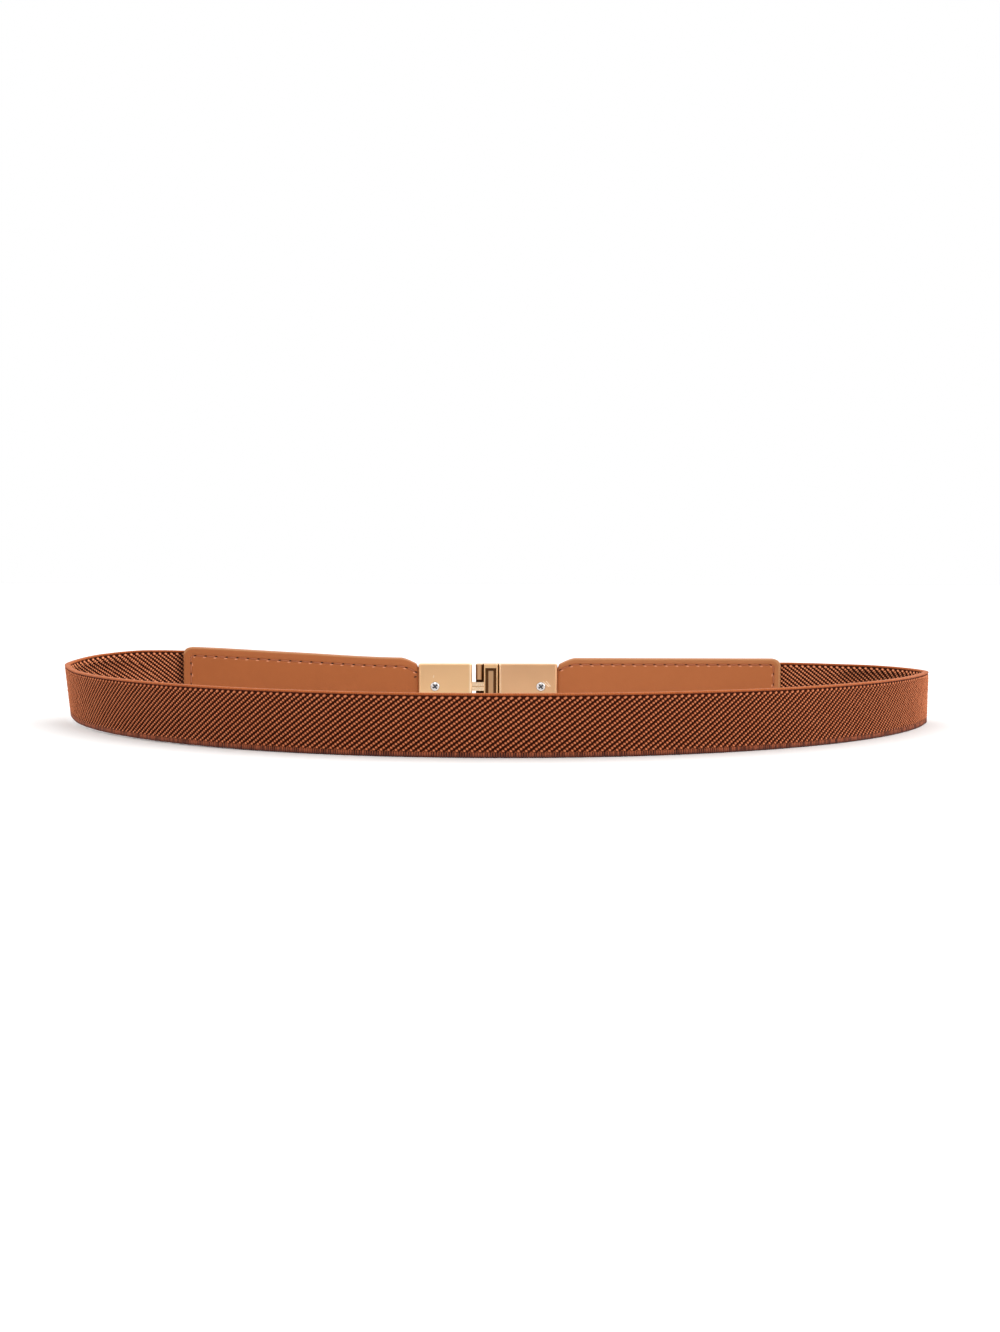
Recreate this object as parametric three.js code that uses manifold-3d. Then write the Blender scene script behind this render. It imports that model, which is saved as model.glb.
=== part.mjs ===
// Elastic stretch belt: a waist loop of woven elastic, closed by leather tabs and a two-part hook clasp.
// Millimetres, +Z up. The belt stands on its lower edge, with the plain stretch at -Y and the clasp at +Y.
import * as THREE from 'three';
import { mergeVertices } from 'three/addons/utils/BufferGeometryUtils.js';
import Module from 'manifold-3d';

const wasm = await Module();
wasm.setup();

// Loop in plan, on the strap's middle line: straight at the rear, a tight turn at each end, one front arc
const loopWidth = 344.4;
const loopDepth = 148.9;
const cornerRadius = 25;

// How the strap stands: the left end is lifted off the surface and leans outwards
const leftLift = 4.5;
const leanOut = 2.1;

// Woven elastic
const elasticHeight = 20.6;
const elasticThickness = 2.2;
const elasticEdge = 0.5;

// Leather tabs, two layers each, sewn round the ends of the elastic
const tabLeftLength = 98.9;
const tabRightLength = 94;
const tabHeight = 23.8;
const leatherThickness = 1.6;
const tabCornerRadius = 3;
const tabEdge = 0.6;
const elasticInset = 10; // from the clasp's mouth to the elastic's end inside the tab

// The tab narrows to the clasp's mouth, where a tongue goes in
const taperLength = 6;
const taperShoulder = 18.2;
const tongueReach = 11;
const tongueLeather = 1.4;

// Clasp: two cast halves, hooked together
const claspX = -4.2; // the clasp's middle, from the rear middle
const claspHeight = 19;
const claspWall = 1.2;
const claspEndRound = 1.2;
const claspBevel = 0.35;
const plateLeftLength = 22.6;
const plateRightLength = 24.7;
const hookGap = 1.5; // see-through gap between the left plate and the hook's lips
const lipWidth = 3.1;
const lipReach = 4.6; // how far each lip turns in from the cover's outer face
const lipLength = 6.6;
const postWidth = 5.9;
const postDepth = 4;
const postWallSide = 0.6;
const postWallEnd = 1.7;
const postPocket = 2.2;
const ribWidth = 2.1;
const ribHeight = 1.1;
const ribInset = 1.25;
const stemHeight = 3.6;
const stemDepth = 3.2;

// Screws through the plates' inner walls
const screwInset = 7; // from the plate's mouth
const screwHead = 3.4;
const screwHeadHeight = 0.8;
const screwShank = 1.7;
const screwSlot = 0.5;
const screwSlotDepth = 0.4;
const screwSlotLength = 2;
const screwSeatDepth = 0.9;
const screwTipDepth = 0.6; // blind bore in the outer wall

const clearance = 0.3;
const hookPlay = 0.4;
const runStep = 12; // longest facet along the strap
const turnStep = THREE.MathUtils.degToRad(7);
const roundSides = 20;
const cornerSteps = 4;
const overshoot = 1; // how far a cutting block runs past the face that it opens

// Where the strap rises and leans, by share of the loop from the rear middle, clockwise from above.
// rise is a share of the tab's overhang, lift of leftLift and lean of leanOut.
const stance = [
  { run: 0.0, rise: 1.0, lift: 0.0, lean: 0.0 },
  { run: 0.142, rise: 1.0, lift: 0.0, lean: 0.0 },
  { run: 0.185, rise: 0.5, lift: 0.0, lean: 0.08 },
  { run: 0.225, rise: 0.0, lift: 0.0, lean: 0.17 },
  { run: 0.27, rise: 0.0, lift: 0.0, lean: 0.0 },
  { run: 0.54, rise: 0.0, lift: 0.0, lean: 0.0 },
  { run: 0.66, rise: 0.0, lift: 0.06, lean: 0.1 },
  { run: 0.735, rise: 0.0, lift: 0.17, lean: 0.6 },
  { run: 0.775, rise: 0.2, lift: 0.5, lean: 1.0 },
  { run: 0.8, rise: 0.6, lift: 0.9, lean: 0.7 },
  { run: 0.82, rise: 0.9, lift: 1.06, lean: 0.3 },
  { run: 0.84, rise: 1.0, lift: 1.0, lean: 0.0 },
  { run: 0.895, rise: 1.0, lift: 0.5, lean: 0.0 },
  { run: 0.95, rise: 1.0, lift: 0.02, lean: 0.0 },
  { run: 0.97, rise: 1.0, lift: 0.0, lean: 0.0 },
  { run: 1.0, rise: 1.0, lift: 0.0, lean: 0.0 },
];

// Sizes that follow from those above
const cornerX = loopWidth / 2 - cornerRadius;
const cornerY = loopDepth - cornerRadius;
const frontRadius = (cornerX ** 2 + cornerY ** 2 - cornerRadius ** 2) / (2 * (cornerY - cornerRadius));
const frontHalfAngle = Math.atan2(cornerX, frontRadius - cornerY);
const cornerAngle = Math.PI - frontHalfAngle;
const tabOverhang = (tabHeight - elasticHeight) / 2;
const seam = clearance / 2;
const tongueFace = seam + tongueLeather;
const claspThickness = 2 * (tongueFace + clearance + claspWall);
const mouthHeight = claspHeight - 2 * claspWall;
const mouthDepth = tongueReach + clearance;
const tongueHeight = mouthHeight - 2 * clearance;
const pocketOut = elasticThickness / 2 + clearance;
const tabFace = pocketOut + leatherThickness;
const middleLength = hookGap + lipWidth + hookPlay + postWidth + hookPlay;
const claspHalfLength = (plateLeftLength + middleLength + plateRightLength) / 2;

// The middle line's stretches, from the rear middle, clockwise from above
const rearStretch = { length: cornerX, turn: 0 };
const cornerStretch = { length: cornerRadius * cornerAngle, turn: cornerAngle };
const frontStretch = { length: 2 * frontRadius * frontHalfAngle, turn: 2 * frontHalfAngle };
const stretches = [rearStretch, cornerStretch, frontStretch, cornerStretch, rearStretch];
const loopLength = stretches.reduce((sum, stretch) => sum + stretch.length, 0);

// Place and heading on the middle line after a run along it
function planAt(run) {
  const place = { x: 0, y: loopDepth, heading: 0 };
  let left = run;
  for (const { length, turn } of stretches) {
    const part = Math.min(left, length);
    if (turn === 0) {
      place.x += part * Math.cos(place.heading);
      place.y -= part * Math.sin(place.heading);
    } else {
      const radius = length / turn;
      const next = place.heading + part / radius;
      place.x += radius * (Math.sin(next) - Math.sin(place.heading));
      place.y += radius * (Math.cos(next) - Math.cos(place.heading));
      place.heading = next;
    }
    left -= part;
    if (left <= 0) break;
  }
  return place;
}

// Slope of a stance column at a row: flat at a peak or a level stretch, otherwise between its neighbours'
function stanceSlope(at, column) {
  const [before, here, after] = [at - 1, at, at + 1].map((row) => stance[row]);
  if (!before || !after) return 0;
  const back = (here[column] - before[column]) / (here.run - before.run);
  const ahead = (after[column] - here[column]) / (after.run - here.run);
  return back * ahead > 0 ? (2 * back * ahead) / (back + ahead) : 0;
}

// A column of the stance table at a run, a smooth cubic through its rows
function stanceAt(run, column) {
  const share = run / loopLength;
  const found = stance.findIndex((row) => row.run > share);
  const at = found < 0 ? stance.length - 2 : found - 1;
  const [from, to] = [stance[at], stance[at + 1]];
  const width = to.run - from.run;
  const t = (share - from.run) / width;
  const slopeFrom = stanceSlope(at, column) * width;
  const slopeTo = stanceSlope(at + 1, column) * width;
  const rise = to[column] - from[column];
  const square = 3 * rise - 2 * slopeFrom - slopeTo;
  const cube = slopeFrom + slopeTo - 2 * rise;
  return from[column] + t * (slopeFrom + t * (square + t * cube));
}

// A point of the strap: out from the middle line, and up from the strap's middle height
function strapPoint(run, out, up) {
  const { x, y, heading } = planAt(run);
  const offset = out + (stanceAt(run, 'lean') * leanOut * up) / elasticHeight;
  const middle = elasticHeight / 2 + stanceAt(run, 'rise') * tabOverhang + stanceAt(run, 'lift') * leftLift;
  return new THREE.Vector3(x + offset * Math.sin(heading), y + offset * Math.cos(heading), middle + up);
}

// Runs from one place to another, close enough for every bend
function runsBetween(from, to) {
  const runs = [from];
  let start = 0;
  for (const { length, turn } of stretches) {
    const low = Math.max(from, start);
    const high = Math.min(to, start + length);
    if (high - low > 1e-6) {
      const bend = (turn * (high - low)) / length;
      const steps = Math.ceil(Math.max((high - low) / runStep, bend / turnStep));
      for (let step = 1; step <= steps; step += 1) runs.push(low + ((high - low) * step) / steps);
    }
    start += length;
  }
  return runs;
}

// A closed body through sections of the strap, each a ring of [out, up] points, counter-clockwise
function strapBody(stations) {
  const size = stations[0].section.length;
  const positions = stations.flatMap(({ run, section }) =>
    section.flatMap(([out, up]) => strapPoint(run, out, up).toArray()));
  const index = [];
  for (let ring = 0; ring < stations.length - 1; ring += 1) {
    for (let point = 0; point < size; point += 1) {
      const here = ring * size + point;
      const next = ring * size + ((point + 1) % size);
      index.push(here, next, next + size, here, next + size, here + size);
    }
  }
  const ends = [stations[0], stations[stations.length - 1]];
  const caps = ends.map(({ section }) =>
    THREE.ShapeUtils.triangulateShape(section.map(([out, up]) => new THREE.Vector2(out, up)), []));
  const offset = (stations.length - 1) * size;
  for (const [a, b, c] of caps[0]) index.push(c, b, a);
  for (const [a, b, c] of caps[1]) index.push(a + offset, b + offset, c + offset);
  const geometry = new THREE.BufferGeometry();
  geometry.setAttribute('position', new THREE.Float32BufferAttribute(positions, 3));
  geometry.setIndex(index);
  return geometry;
}

function toSolid(geometry) {
  const bare = geometry.clone();
  bare.deleteAttribute('normal');
  bare.deleteAttribute('uv');
  const merged = mergeVertices(bare, 1e-5);
  const vertProperties = new Float32Array(merged.attributes.position.array);
  const triVerts = new Uint32Array(merged.index.array);
  return new wasm.Manifold(new wasm.Mesh({ numProp: 3, vertProperties, triVerts }));
}

function toGeometry(solid) {
  const { vertProperties, triVerts } = solid.getMesh();
  const geometry = new THREE.BufferGeometry();
  geometry.setAttribute('position', new THREE.Float32BufferAttribute(vertProperties, 3));
  geometry.setIndex(Array.from(triVerts));
  geometry.computeVertexNormals();
  return geometry;
}

function block(x0, x1, y0, y1, z0, z1) {
  const geometry = new THREE.BoxGeometry(x1 - x0, y1 - y0, z1 - z0);
  geometry.translate((x0 + x1) / 2, (y0 + y1) / 2, (z0 + z1) / 2);
  return toSolid(geometry);
}

// A round bar along Y
function bar(x, y0, y1, diameter) {
  const geometry = new THREE.CylinderGeometry(diameter / 2, diameter / 2, y1 - y0, roundSides);
  geometry.translate(x, (y0 + y1) / 2, 0);
  return toSolid(geometry);
}

// A plan outline raised to the clasp's height, its top and bottom edges bevelled
function raised(shape, height) {
  const geometry = new THREE.ExtrudeGeometry(shape, {
    depth: height - 2 * claspBevel,
    bevelSize: claspBevel,
    bevelOffset: -claspBevel,
    bevelThickness: claspBevel,
    bevelSegments: 1,
    curveSegments: 6,
  });
  geometry.translate(0, 0, claspBevel - height / 2);
  return toSolid(geometry);
}

function roundedRect(x0, x1, y0, y1, radius) {
  const shape = new THREE.Shape();
  shape.moveTo(x0 + radius, y0);
  shape.lineTo(x1 - radius, y0);
  shape.absarc(x1 - radius, y0 + radius, radius, -Math.PI / 2, 0, false);
  shape.lineTo(x1, y1 - radius);
  shape.absarc(x1 - radius, y1 - radius, radius, 0, Math.PI / 2, false);
  shape.lineTo(x0 + radius, y1);
  shape.absarc(x0 + radius, y1 - radius, radius, Math.PI / 2, Math.PI, false);
  shape.lineTo(x0, y0 + radius);
  shape.absarc(x0 + radius, y0 + radius, radius, Math.PI, 1.5 * Math.PI, false);
  return shape;
}

// Elastic's section, with small bevels on its four edges
function elasticSection(grow) {
  const out = elasticThickness / 2 + grow;
  const up = elasticHeight / 2 + grow;
  const edge = elasticEdge;
  return [
    [out - edge, -up], [out, edge - up], [out, up - edge], [out - edge, up],
    [edge - out, up], [-out, up - edge], [-out, edge - up], [edge - out, -up],
  ];
}

function elasticBand(from, to, grow) {
  return strapBody(runsBetween(from, to).map((run) => ({ run, section: elasticSection(grow) })));
}

// One leather layer's section, from the seam to its face; side is 1 outside the loop and -1 inside
function leatherSection(height, face, side) {
  const up = height / 2;
  const ring = [
    [seam, -up], [face - tabEdge, -up], [face, tabEdge - up],
    [face, up - tabEdge], [face - tabEdge, up], [seam, up],
  ];
  return side > 0 ? ring : ring.map(([out, rise]) => [-out, rise]).reverse();
}

// The tab's outline and face along its length: reach is the distance out of the clasp's mouth
function tabProfile(length) {
  const rows = [
    { reach: -tongueReach, height: tongueHeight, face: tongueFace },
    { reach: clearance, height: tongueHeight, face: tongueFace },
    { reach: 3 * clearance, height: taperShoulder, face: tongueFace + clearance },
    { reach: 3 * clearance + taperLength, height: tabHeight, face: tabFace - seam },
    { reach: elasticInset, height: tabHeight, face: tabFace },
  ];
  const plain = length - tabCornerRadius;
  const steps = Math.ceil((plain - elasticInset) / runStep);
  for (let step = 1; step <= steps; step += 1) {
    const reach = elasticInset + ((plain - elasticInset) * step) / steps;
    rows.push({ reach, height: tabHeight, face: tabFace });
  }
  for (let step = 1; step <= cornerSteps; step += 1) {
    const angle = (Math.PI / 2) * (step / cornerSteps);
    const height = tabHeight - 2 * tabCornerRadius * (1 - Math.cos(angle));
    rows.push({ reach: plain + tabCornerRadius * Math.sin(angle), height, face: tabFace });
  }
  return rows;
}

// toRun turns a reach into a run along the loop, forwards for the right tab and backwards for the left
function tabLayer(length, toRun, side, screwX) {
  const stations = tabProfile(length).map(({ reach, height, face }) =>
    ({ run: toRun(reach), section: leatherSection(height, face, side) }));
  stations.sort((a, b) => a.run - b.run);
  const ends = [toRun(elasticInset - clearance), toRun(length + runStep)].sort((a, b) => a - b);
  const pocket = toSolid(elasticBand(ends[0], ends[1], clearance));
  const hole = bar(screwX, -claspThickness, claspThickness, screwShank + 2 * clearance)
    .translate([claspX, loopDepth, tabHeight / 2]);
  return toGeometry(toSolid(strapBody(stations)).subtract(pocket).subtract(hole));
}

// Clasp places along X, from its middle
const leftMouth = -claspHalfLength;
const leftEnd = leftMouth + plateLeftLength;
const lipStart = leftEnd + hookGap;
const lipEnd = lipStart + lipWidth;
const postStart = lipEnd + hookPlay;
const postEnd = postStart + postWidth;
const rightEnd = postEnd + hookPlay;
const rightMouth = rightEnd + plateRightLength;
const innerFace = -claspThickness / 2;
const outerFace = claspThickness / 2;
const postFace = innerFace + hookPlay;

// A plate with its mouth, and a seat and bore for the screw; away points out of the mouth along X
function plate(x0, x1, away) {
  const mouth = away < 0 ? x0 : x1;
  const inner = mouth - away * mouthDepth;
  const outer = mouth + away * overshoot;
  const slot = block(Math.min(inner, outer), Math.max(inner, outer),
    innerFace + claspWall, outerFace - claspWall, -mouthHeight / 2, mouthHeight / 2);
  const screwX = mouth - away * screwInset;
  const seat = bar(screwX, innerFace - overshoot, innerFace + screwSeatDepth, screwHead + 2 * clearance);
  const boreEnd = outerFace - claspWall + screwTipDepth;
  const bore = bar(screwX, innerFace - overshoot, boreEnd, screwShank + 2 * clearance);
  return raised(roundedRect(x0, x1, innerFace, outerFace, claspEndRound), claspHeight)
    .subtract(slot).subtract(seat).subtract(bore);
}

// Left half: plate, a stem at mid height and an upright post with a ribbed pocket in its inner side
function claspLeftHalf() {
  const pocketX0 = postStart + postWallSide;
  const pocketX1 = postEnd - postWallSide;
  const pocketUp = claspHeight / 2 - postWallEnd;
  const postMiddle = (postStart + postEnd) / 2;
  const pocket = block(pocketX0, pocketX1, postFace - overshoot, postFace + postPocket, -pocketUp, pocketUp);
  const ribUp = pocketUp - ribInset;
  const rib = block(postMiddle - ribWidth / 2, postMiddle + ribWidth / 2,
    postFace + postPocket - ribHeight, postFace + postPocket + clearance, -ribUp, ribUp);
  const outline = roundedRect(postStart, postEnd, postFace, postFace + postDepth, postWallSide);
  const post = raised(outline, claspHeight).subtract(pocket).add(rib);
  const stem = block(leftEnd - claspEndRound, postStart + postWallSide / 2,
    postFace, postFace + stemDepth, -stemHeight / 2, stemHeight / 2);
  return toGeometry(plate(leftMouth, leftEnd, -1).add(post).add(stem));
}

// Right half: plate, a cover over the post's outer side and two lips turned in behind the post
function claspRightHalf() {
  const lipRound = lipWidth / 2;
  const lipMiddle = outerFace - lipReach + lipRound;
  const coverFace = outerFace - claspWall;
  const hook = new THREE.Shape();
  hook.moveTo(rightEnd + claspEndRound, outerFace);
  hook.lineTo(lipStart + lipRound, outerFace);
  hook.absarc(lipStart + lipRound, outerFace - lipRound, lipRound, Math.PI / 2, Math.PI, false);
  hook.absarc(lipStart + lipRound, lipMiddle, lipRound, Math.PI, 2 * Math.PI, false);
  hook.lineTo(lipEnd, coverFace);
  hook.lineTo(rightEnd + claspEndRound, coverFace);
  const gateUp = claspHeight / 2 - lipLength;
  const gate = block(lipStart - overshoot, lipEnd + hookPlay / 2, innerFace, coverFace, -gateUp, gateUp);
  return toGeometry(plate(rightEnd, rightMouth, 1).add(raised(hook, claspHeight).subtract(gate)));
}

// Cross-head screw along Y, its head in the plate's seat and its tip in the outer wall
function screw() {
  const headFace = innerFace + screwSeatDepth - clearance - screwHeadHeight;
  const tip = outerFace - claspWall + screwTipDepth - clearance;
  const neck = headFace + screwHeadHeight;
  const outline = [
    [0, headFace], [screwHead / 2, headFace], [screwHead / 2, neck],
    [screwShank / 2, neck], [screwShank / 2, tip], [0, tip],
  ];
  const turned = new THREE.LatheGeometry(outline.map(([r, y]) => new THREE.Vector2(r, y)), roundSides);
  const arm = screwSlotLength / 2;
  const half = screwSlot / 2;
  const bottom = headFace + screwSlotDepth;
  return toGeometry(toSolid(turned)
    .subtract(block(-arm, arm, headFace - overshoot, bottom, -half, half))
    .subtract(block(-half, half, headFace - overshoot, bottom, -arm, arm)));
}

function named(name, geometry, color, roughness, metalness) {
  const material = new THREE.MeshStandardMaterial({ color, roughness, metalness });
  const mesh = new THREE.Mesh(geometry, material);
  mesh.name = name;
  return mesh;
}

// Strap, from the right tab clockwise to the left one
const rightReach = (reach) => claspX + rightMouth + reach;
const leftReach = (reach) => loopLength + claspX + leftMouth - reach;
const rightScrewX = rightMouth - screwInset;
const leftScrewX = leftMouth + screwInset;
const strap = new THREE.Group();
strap.add(
  named('elastic_band', elasticBand(rightReach(elasticInset), leftReach(elasticInset), 0), 0x8a5230, 0.7, 0),
  named('tab_right_outer', tabLayer(tabRightLength, rightReach, 1, rightScrewX), 0xb06a3a, 0.5, 0),
  named('tab_right_inner', tabLayer(tabRightLength, rightReach, -1, rightScrewX), 0xb06a3a, 0.5, 0),
  named('tab_left_outer', tabLayer(tabLeftLength, leftReach, 1, leftScrewX), 0xa86236, 0.5, 0),
  named('tab_left_inner', tabLayer(tabLeftLength, leftReach, -1, leftScrewX), 0xa86236, 0.5, 0),
);

const clasp = new THREE.Group();
clasp.position.set(claspX, loopDepth, tabHeight / 2);
clasp.add(
  named('clasp_left_half', claspLeftHalf(), 0xd8b184, 0.32, 1),
  named('clasp_right_half', claspRightHalf(), 0xd8b184, 0.32, 1),
);
for (const [name, x] of [['screw_left', leftScrewX], ['screw_right', rightScrewX]]) {
  const mesh = named(name, screw(), 0xb9b6b0, 0.3, 1);
  mesh.position.x = x;
  clasp.add(mesh);
}

// The origin is the middle of the belt's footprint, on the surface that it stands on
const belt = new THREE.Group();
belt.add(strap, clasp);
const box = new THREE.Box3().setFromObject(belt);
const middle = box.getCenter(new THREE.Vector3());
belt.position.set(-middle.x, -middle.y, -box.min.z);

export default belt;
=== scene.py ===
# Elastic stretch belt: woven elastic round the waist, two-layer leather tabs, and a two-part hook clasp.
# Shapes are worked out in millimetres along the strap, and turned into metres where their mesh is made.
import math

import bmesh
import bpy
import numpy as np
from mathutils import Matrix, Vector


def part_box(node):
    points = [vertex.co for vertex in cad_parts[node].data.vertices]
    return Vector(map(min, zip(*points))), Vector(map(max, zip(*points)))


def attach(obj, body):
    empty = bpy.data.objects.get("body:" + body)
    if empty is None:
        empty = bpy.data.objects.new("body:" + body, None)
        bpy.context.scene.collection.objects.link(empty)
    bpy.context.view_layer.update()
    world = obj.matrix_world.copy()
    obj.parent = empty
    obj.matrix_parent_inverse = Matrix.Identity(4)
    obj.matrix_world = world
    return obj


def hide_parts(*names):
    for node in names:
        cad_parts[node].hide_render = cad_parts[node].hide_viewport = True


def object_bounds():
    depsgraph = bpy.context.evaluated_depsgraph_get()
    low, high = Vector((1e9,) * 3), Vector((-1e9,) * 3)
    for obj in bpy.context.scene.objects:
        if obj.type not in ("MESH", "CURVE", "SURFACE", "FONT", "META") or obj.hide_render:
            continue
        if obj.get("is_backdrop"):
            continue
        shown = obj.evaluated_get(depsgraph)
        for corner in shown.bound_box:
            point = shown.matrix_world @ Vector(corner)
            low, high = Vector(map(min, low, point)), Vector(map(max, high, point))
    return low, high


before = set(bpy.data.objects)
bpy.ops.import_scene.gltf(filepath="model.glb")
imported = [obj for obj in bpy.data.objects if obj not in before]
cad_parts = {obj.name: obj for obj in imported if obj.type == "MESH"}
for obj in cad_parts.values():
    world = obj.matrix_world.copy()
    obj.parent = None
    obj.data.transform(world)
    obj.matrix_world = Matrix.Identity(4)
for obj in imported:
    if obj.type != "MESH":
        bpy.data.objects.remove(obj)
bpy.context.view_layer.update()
metre = 1000  # millimetres


# Shader maths

class Wire:
    # A shader socket. + - * / on it add Math nodes, also with a plain number on the left.
    def __init__(self, finish, socket):
        self.finish, self.socket = finish, socket

    def math(self, operation, *values):
        return self.finish.node("ShaderNodeMath", {"operation": operation}, dict(enumerate(values)))

    def __add__(self, other):
        return self.math("ADD", self, other)

    def __sub__(self, other):
        return self.math("SUBTRACT", self, other)

    def __rsub__(self, other):
        return self.math("SUBTRACT", other, self)

    def __mul__(self, other):
        return self.math("MULTIPLY", self, other)

    def __truediv__(self, other):
        return self.math("DIVIDE", self, other)

    def __rtruediv__(self, other):
        return self.math("DIVIDE", other, self)

    __radd__ = __add__
    __rmul__ = __mul__


class Finish:
    # The nodes of one material or world. node() adds any node, settings first, and shade() ends a material
    # in a Principled surface.
    def __init__(self, holder):
        self.holder = holder
        holder.use_nodes = True
        self.tree = holder.node_tree
        self.tree.nodes.clear()

    def node(self, kind, settings=None, inputs=None, output=0):
        node = self.tree.nodes.new(kind)
        for key, value in (settings or {}).items():
            setattr(node, key, value)
        for key, value in (inputs or {}).items():
            if isinstance(value, Wire):
                self.tree.links.new(value.socket, node.inputs[key])
            else:
                node.inputs[key].default_value = value
        return Wire(self, node.outputs[output]) if node.outputs else None

    def coordinates(self, uvMap=None):
        # x, y and z of the object's own coordinates in metres, or u and v of a UV map
        if uvMap:
            place = self.node("ShaderNodeUVMap", {"uv_map": uvMap})
        else:
            place = self.node("ShaderNodeTexCoord", output=3)
        return place, [self.part(place, axis) for axis in range(3)]

    def part(self, vector, axis):
        return self.node("ShaderNodeSeparateXYZ", inputs={0: vector}, output=axis)

    def attribute(self, name):
        return self.node("ShaderNodeAttribute", {"attribute_name": name}, output=2)

    def step(self, value, low, high):
        # 0 at low and 1 at high, smooth between them, also where low is the larger
        smooth = {"interpolation_type": "SMOOTHSTEP"}
        return self.node("ShaderNodeMapRange", smooth, {0: value, 1: low, 2: high})

    def between(self, value, low, high, soft):
        # 1 from low to high and 0 past them
        return self.step(value, low - soft, low + soft) * self.step(value, high + soft, high - soft)

    def mix(self, factor, first, second):
        # A colour from first to second as factor goes from 0 to 1
        return self.node("ShaderNodeMix", {"data_type": "RGBA"}, {0: factor, 6: first, 7: second}, 2)

    def noise(self, place, scale, detail=2.0):
        return self.node("ShaderNodeTexNoise", inputs={"Vector": place, "Scale": scale, "Detail": detail})

    def shade(self, inputs, height=None):
        # height is in millimetres
        if height is not None:
            bump = {"Strength": 1.0, "Distance": 1 / metre, "Height": height}
            inputs["Normal"] = self.node("ShaderNodeBump", inputs=bump)
        surface = self.node("ShaderNodeBsdfPrincipled", inputs=inputs)
        self.node("ShaderNodeOutputMaterial", inputs={"Surface": surface})
        return self.holder


def newFinish(name):
    return Finish(bpy.data.materials.new(name))


def largest(wires):
    # The highest of several masks, at each spot
    top = wires[0]
    for wire in wires[1:]:
        top = top.math("MAXIMUM", top, wire)
    return top


def lengthOf(first, second):
    return first.math("SQRT", first * first + second * second)


# Meshes from arrays

def gridFaces(rows, columns, first=0):
    # Quads of a grid of points, row after row, whose last row joins its first one
    index = first + np.arange(rows * columns).reshape(rows, columns)
    index = np.vstack([index, index[:1]])
    quads = np.stack([index[:-1, :-1], index[:-1, 1:], index[1:, 1:], index[1:, :-1]], -1)
    return quads.reshape(-1, 4)


def tubeFaces(rows, columns, first=0):
    # A closed tube: the grid's quads, and one cap at each end
    ring = first + np.arange(rows) * columns
    return [gridFaces(rows, columns, first), ring[None, :], (ring[::-1] + columns - 1)[None, :]]


def signedVolume(points, faces):
    # Sum over the faces of the wedge from the origin to each of their fan triangles
    total = 0.0
    for group in faces:
        for corner in range(1, group.shape[1] - 1):
            a, b, c = points[group[:, 0]], points[group[:, corner]], points[group[:, corner + 1]]
            total += np.einsum("ij,ij->i", a, np.cross(b, c)).sum() / 6
    return total


def makePiece(name, points, faces, material, uvMaps=None, attributes=None):
    # One mesh object from points in metres, with its faces turned outwards and its values by point
    if signedVolume(points, faces) < 0:
        faces = [group[:, ::-1] for group in faces]
    corners = np.concatenate([group.ravel() for group in faces])
    sizes = np.concatenate([np.full(len(group), group.shape[1]) for group in faces])
    mesh = bpy.data.meshes.new(name)
    mesh.vertices.add(len(points))
    mesh.vertices.foreach_set("co", points.astype(np.float32).ravel())
    mesh.loops.add(len(corners))
    mesh.loops.foreach_set("vertex_index", corners.astype(np.int32))
    mesh.polygons.add(len(sizes))
    mesh.polygons.foreach_set("loop_start", (np.cumsum(sizes) - sizes).astype(np.int32))
    mesh.update(calc_edges=True)
    for uvMap, values in (uvMaps or {}).items():
        layer = mesh.uv_layers.new(name=uvMap)
        layer.data.foreach_set("uv", values[corners].astype(np.float32).ravel())
    for attribute, values in (attributes or {}).items():
        layer = mesh.attributes.new(attribute, "FLOAT", "POINT")
        layer.data.foreach_set("value", values.astype(np.float32).ravel())
    mesh.shade_smooth()
    mesh.materials.append(material)
    piece = bpy.data.objects.new(name, mesh)
    bpy.context.scene.collection.objects.link(piece)
    return piece


def place(piece, slot, *nodes):
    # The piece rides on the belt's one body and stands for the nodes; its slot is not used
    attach(piece, "root")
    if nodes:
        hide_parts(*nodes)
    return piece


def smoothStep(value, low, high):
    t = np.clip((value - low) / (high - low), 0, 1)
    return t * t * (3 - 2 * t)


# The strap's own line and how it stands

loop = {
    "width": 344.4,  # of the middle line, in plan
    "depth": 148.9,
    "cornerRadius": 25,
    "height": 20.6,  # of the elastic
    "overhang": 1.6,  # of the tabs past the elastic, above and below
    "lift": 4.5,
    "lean": 2.1,
    "claspX": -4.2,
    "claspHalf": 29.3,
    "claspFace": 3.05,
}
# Share of the loop from the rear middle, clockwise from above, with shares of overhang, lift and lean there
stance = np.array([
    (0.0, 1.0, 0.0, 0.0),
    (0.142, 1.0, 0.0, 0.0),
    (0.185, 0.5, 0.0, 0.08),
    (0.225, 0.0, 0.0, 0.17),
    (0.27, 0.0, 0.0, 0.0),
    (0.54, 0.0, 0.0, 0.0),
    (0.66, 0.0, 0.06, 0.1),
    (0.735, 0.0, 0.17, 0.6),
    (0.775, 0.2, 0.5, 1.0),
    (0.8, 0.6, 0.9, 0.7),
    (0.82, 0.9, 1.06, 0.3),
    (0.84, 1.0, 1.0, 0.0),
    (0.895, 1.0, 0.5, 0.0),
    (0.95, 1.0, 0.02, 0.0),
    (0.97, 1.0, 0.0, 0.0),
    (1.0, 1.0, 0.0, 0.0),
], dtype=[("run", float), ("rise", float), ("lift", float), ("lean", float)])

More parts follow.
